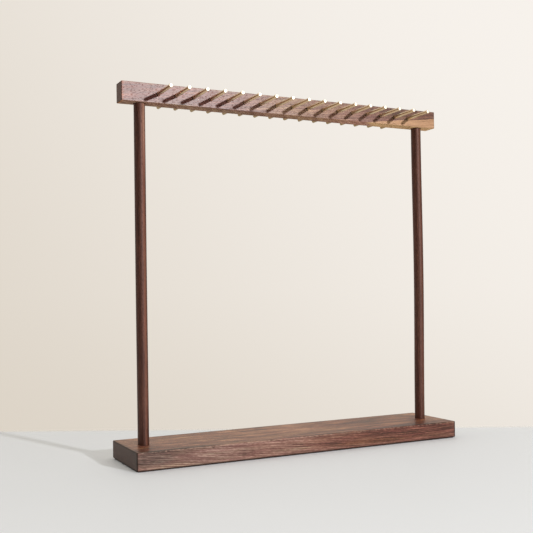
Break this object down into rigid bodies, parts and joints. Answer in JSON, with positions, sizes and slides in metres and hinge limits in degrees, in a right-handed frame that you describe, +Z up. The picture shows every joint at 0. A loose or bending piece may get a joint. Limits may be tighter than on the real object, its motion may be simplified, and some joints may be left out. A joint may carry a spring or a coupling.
{
  "type": "necklace hanger",
  "caption": "Free-standing necklace hanger: wooden base board, round posts and a crossbar with a row of thin brass rods that stand out at its front and back.",
  "frame": {"origin": "on the ground under the middle of the stand", "axes": "+X along the crossbar to the right as seen from the front, +Y towards the back, along the rods, +Z up"},
  "size_m": [0.402, 0.098, 0.4003],
  "materials": {
    "walnut": "oiled black walnut, fine-sanded, satin, with open grain and paler sapwood at one end of the crossbar",
    "brass": "satin brass rod, faced at both ends",
    "screw_steel": "zinc-plated wood screw",
    "pad_rubber": "matt black foam rubber sheet"
  },
  "bodies": {
    "root": {"base": "walnut", "crossbar": "walnut", "post_left": "walnut", "post_right": "walnut", "hanging_rod_01": "brass", "hanging_rod_02": "brass", "hanging_rod_03": "brass", "hanging_rod_04": "brass", "hanging_rod_05": "brass", "hanging_rod_06": "brass", "hanging_rod_07": "brass", "hanging_rod_08": "brass", "hanging_rod_09": "brass", "hanging_rod_10": "brass", "hanging_rod_11": "brass", "hanging_rod_12": "brass", "hanging_rod_13": "brass", "hanging_rod_14": "brass", "hanging_rod_15": "brass", "hanging_rod_16": "brass", "hanging_rod_17": "brass", "post_screw_left": "screw_steel", "post_screw_right": "screw_steel", "base_pad": "pad_rubber"}
  },
  "joints": []
}
